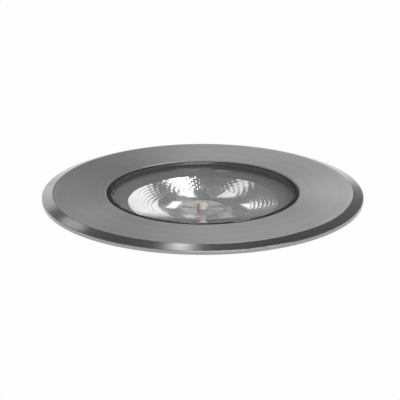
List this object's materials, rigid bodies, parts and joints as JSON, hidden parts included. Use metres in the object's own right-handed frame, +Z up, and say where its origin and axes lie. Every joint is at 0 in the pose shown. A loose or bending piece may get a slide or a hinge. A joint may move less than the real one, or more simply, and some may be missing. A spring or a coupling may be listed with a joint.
{
  "type": "in ground well light",
  "caption": "Round in-ground uplight: bevelled steel flange, flush glass over a faceted reflector, and a finned housing held in a buried sleeve by sprung claws.",
  "frame": {"origin": "on the lamp's axis at ground level, in the plane of the flange's underside", "axes": "+Z up along the lamp's axis, out of the ground; +Y towards the sleeve's cable port"},
  "size_m": [0.2, 0.2, 0.1397],
  "materials": {
    "stainless": "turned with a fine circular grain, satin",
    "glass": "clear toughened glass, polished",
    "rubber": "black, matt",
    "mask_grey": "mid grey, satin",
    "reflector": "bright facets",
    "clear_lens": "clear, polished",
    "led_phosphor": "yellow phosphor, unlit",
    "board": "white solder mask",
    "thermal_pad": "grey silicone",
    "cast_aluminium": "cast, grey powder coat",
    "screw_steel": "plain stainless",
    "driver_case": "black potted case",
    "terminal_plastic": "pale polyamide",
    "tinned_lug": "tinned",
    "wire_supply": "brown and blue insulation shown as one slot",
    "wire_led": "red insulation",
    "wire_earth": "green insulation",
    "vent_plastic": "black",
    "nickel_brass": "nickel plated",
    "claw_steel": "pressed stainless",
    "spring_steel": "bright spring wire",
    "sleeve_plastic": "black moulded, fine texture"
  },
  "bodies": {
    "lamp": {"bottom_cover": "cast_aluminium", "bracket_screws": "screw_steel", "claw_brackets": "claw_steel", "claw_pins": "screw_steel", "claw_spring_1": "spring_steel", "claw_spring_2": "spring_steel", "claw_spring_3": "spring_steel", "cover_oring": "rubber", "cover_screws": "screw_steel", "driver": "driver_case", "driver_screws": "screw_steel", "earth_lug": "tinned_lug", "earth_screw": "screw_steel", "earth_wire": "wire_earth", "gland_body": "nickel_brass", "gland_locknut": "nickel_brass", "gland_washer": "rubber", "glass_gasket": "rubber", "glass_lens": "glass", "housing": "cast_aluminium", "led_board": "board", "led_chip": "led_phosphor", "led_lens": "clear_lens", "led_screws": "screw_steel", "led_wires": "wire_led", "mask_ring": "mask_grey", "pressure_vent": "vent_plastic", "reflector": "reflector", "seat_gasket": "rubber", "supply_wires": "wire_supply", "terminal_block": "terminal_plastic", "terminal_screws": "screw_steel", "thermal_pad": "thermal_pad", "trim_ring": "stainless", "trim_screws": "screw_steel", "wire_bush": "rubber"},
    "claw_1": {"claw_arm_1": "claw_steel"},
    "claw_2": {"claw_arm_2": "claw_steel"},
    "claw_3": {"claw_arm_3": "claw_steel"},
    "sleeve": {"conduit_grommet": "rubber", "installation_sleeve": "sleeve_plastic"},
    "gland_nut": {"gland_nut": "nickel_brass"},
    "gland_seal": {"gland_seal": "rubber"}
  },
  "joints": [
    {"name": "lamp_lift", "type": "slide", "parent": "sleeve", "child": "lamp", "axis": [0, 0, 1], "range_m": [0, 0.092]},
    {"name": "claw_1_pivot", "type": "hinge", "parent": "lamp", "child": "claw_1", "pos_m": [0.05716, 0.033, -0.052], "axis": [0.5, -0.866, 0], "range_deg": [0, 12], "stiffness_Nm_per_rad": 0.4, "springref_deg": -8.59, "deforming": ["claw_spring_1"]},
    {"name": "claw_2_pivot", "type": "hinge", "parent": "lamp", "child": "claw_2", "pos_m": [-0.05716, 0.033, -0.052], "axis": [0.5, 0.866, 0], "range_deg": [0, 12], "stiffness_Nm_per_rad": 0.4, "springref_deg": -8.59, "deforming": ["claw_spring_2"]},
    {"name": "claw_3_pivot", "type": "hinge", "parent": "lamp", "child": "claw_3", "pos_m": [0, -0.066, -0.052], "axis": [-1, 0, 0], "range_deg": [0, 12], "stiffness_Nm_per_rad": 0.4, "springref_deg": -8.59, "deforming": ["claw_spring_3"]},
    {"name": "seal_slide", "type": "slide", "parent": "lamp", "child": "gland_seal", "axis": [0, 0, 1], "range_m": [0, 0.003]},
    {"name": "nut_turn", "type": "hinge", "parent": "gland_seal", "child": "gland_nut", "pos_m": [0.027, 0, -0.083], "axis": [0, 0, 1], "range_deg": [0, 720]}
  ],
  "couplings": [
    {"joint": "seal_slide", "follows": "nut_turn", "m_per_rad": 0.0002387}
  ]
}
